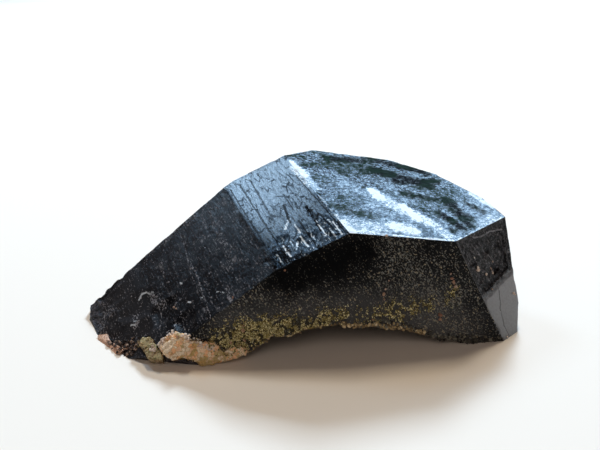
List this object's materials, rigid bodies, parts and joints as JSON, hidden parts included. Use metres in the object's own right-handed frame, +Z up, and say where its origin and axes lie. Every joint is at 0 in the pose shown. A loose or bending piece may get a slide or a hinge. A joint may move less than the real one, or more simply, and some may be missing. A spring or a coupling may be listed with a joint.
{
  "type": "rough morion quartz",
  "caption": "Rough opaque black morion quartz crystal, faceted prism and point, with scraps of pink feldspar and olive druse at its broken foot; rests on its underside.",
  "frame": {"origin": "on the ground under the middle of the stone's bounding box", "axes": "+Z up, +X along the stone's length towards the crystal's pointed end, -Y the front that the picture shows"},
  "size_m": [0.1114, 0.0632, 0.0373],
  "materials": {
    "morion": "glossy natural and broken quartz faces, opaque black",
    "pink_feldspar": "matt, grainy",
    "olive_crust": "matt, grainy"
  },
  "bodies": {
    "root": {"morion_crystal": "morion", "feldspar_patch": "pink_feldspar", "feldspar_rim": "pink_feldspar", "olive_knob": "olive_crust"}
  },
  "joints": []
}
